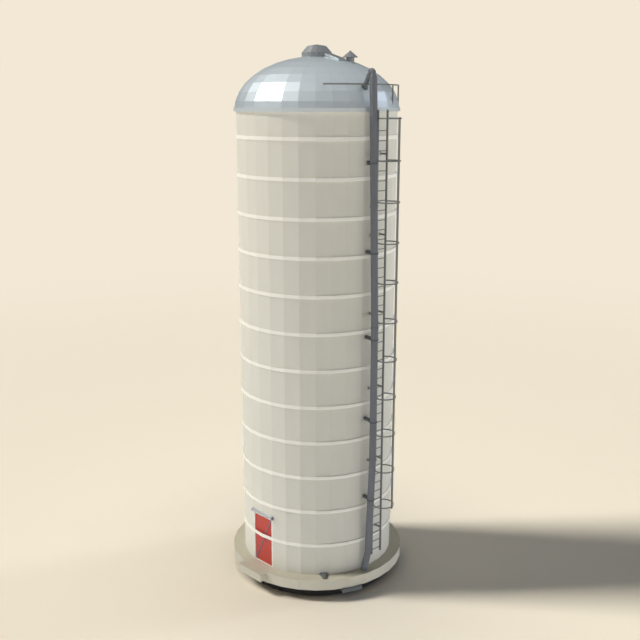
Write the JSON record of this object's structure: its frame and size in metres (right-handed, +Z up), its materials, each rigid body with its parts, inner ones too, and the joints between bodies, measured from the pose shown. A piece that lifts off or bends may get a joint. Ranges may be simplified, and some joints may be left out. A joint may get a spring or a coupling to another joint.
{
  "type": "concrete silo",
  "caption": "Tall round concrete storage silo with hoops, a metal dome roof, a caged ladder, a fill pipe bent into the roof and a small door at its base.",
  "frame": {"origin": "centre of the footing's underside, on the silo's axis at ground level", "axes": "+Z up along the silo's axis; the door faces -Y; the ladder is on +X"},
  "size_m": [6.5353, 6.2, 17.86],
  "materials": {
    "silo_concrete": "fair-faced pale concrete, matte",
    "hoop_cream": "cream paint, matte",
    "footing_coating": "black damp-proof coating on concrete",
    "roof_sheet": "pale blue-grey sheet, satin",
    "dark_steel": "dark grey paint, satin",
    "pipe_slate": "slate grey paint, satin",
    "galvanised_steel": "dull galvanised",
    "door_red": "red paint, satin",
    "frame_cream": "cream paint, satin"
  },
  "bodies": {
    "silo": {"footing": "footing_coating", "base_slab": "silo_concrete", "door_step": "silo_concrete", "wall_segment_1": "silo_concrete", "wall_segment_2": "silo_concrete", "wall_segment_3": "silo_concrete", "wall_segment_4": "silo_concrete", "wall_segment_5": "silo_concrete", "wall_segment_6": "silo_concrete", "wall_segment_7": "silo_concrete", "wall_door_left": "silo_concrete", "wall_door_right": "silo_concrete", "wall_over_door": "silo_concrete", "hoop_01": "hoop_cream", "hoop_02": "hoop_cream", "hoop_03": "hoop_cream", "hoop_04": "hoop_cream", "hoop_05": "hoop_cream", "hoop_06": "hoop_cream", "hoop_07": "hoop_cream", "hoop_08": "hoop_cream", "hoop_09": "hoop_cream", "hoop_10": "hoop_cream", "hoop_11": "hoop_cream", "hoop_12": "hoop_cream", "door_frame": "frame_cream", "door_drip_bar": "galvanised_steel", "roof_ring": "roof_sheet", "roof_dome": "roof_sheet", "roof_cap": "dark_steel", "roof_chute": "roof_sheet", "roof_vent": "dark_steel", "fill_pipe": "pipe_slate", "gooseneck": "pipe_slate", "roof_flange": "dark_steel", "pipe_clamp_1": "dark_steel", "pipe_clamp_2": "dark_steel", "pipe_clamp_3": "dark_steel", "pipe_clamp_4": "dark_steel", "pipe_clamp_5": "dark_steel", "ladder": "dark_steel", "cage_ring_01": "dark_steel", "cage_ring_02": "dark_steel", "cage_ring_03": "dark_steel", "cage_ring_04": "dark_steel", "cage_ring_05": "dark_steel", "cage_ring_06": "dark_steel", "cage_ring_07": "dark_steel", "cage_ring_08": "dark_steel", "cage_ring_09": "dark_steel", "cage_ring_10": "dark_steel", "cage_ring_11": "dark_steel", "cage_strap": "dark_steel", "grab_rail": "dark_steel", "drain_lip": "galvanised_steel", "air_duct": "galvanised_steel"},
    "door": {"door_leaf": "door_red"}
  },
  "joints": [
    {"name": "door_hinge", "type": "hinge", "parent": "silo", "child": "door", "pos_m": [-0.39, -2.505, 1.6], "axis": [0, 0, 1], "range_deg": [0, 90]}
  ]
}
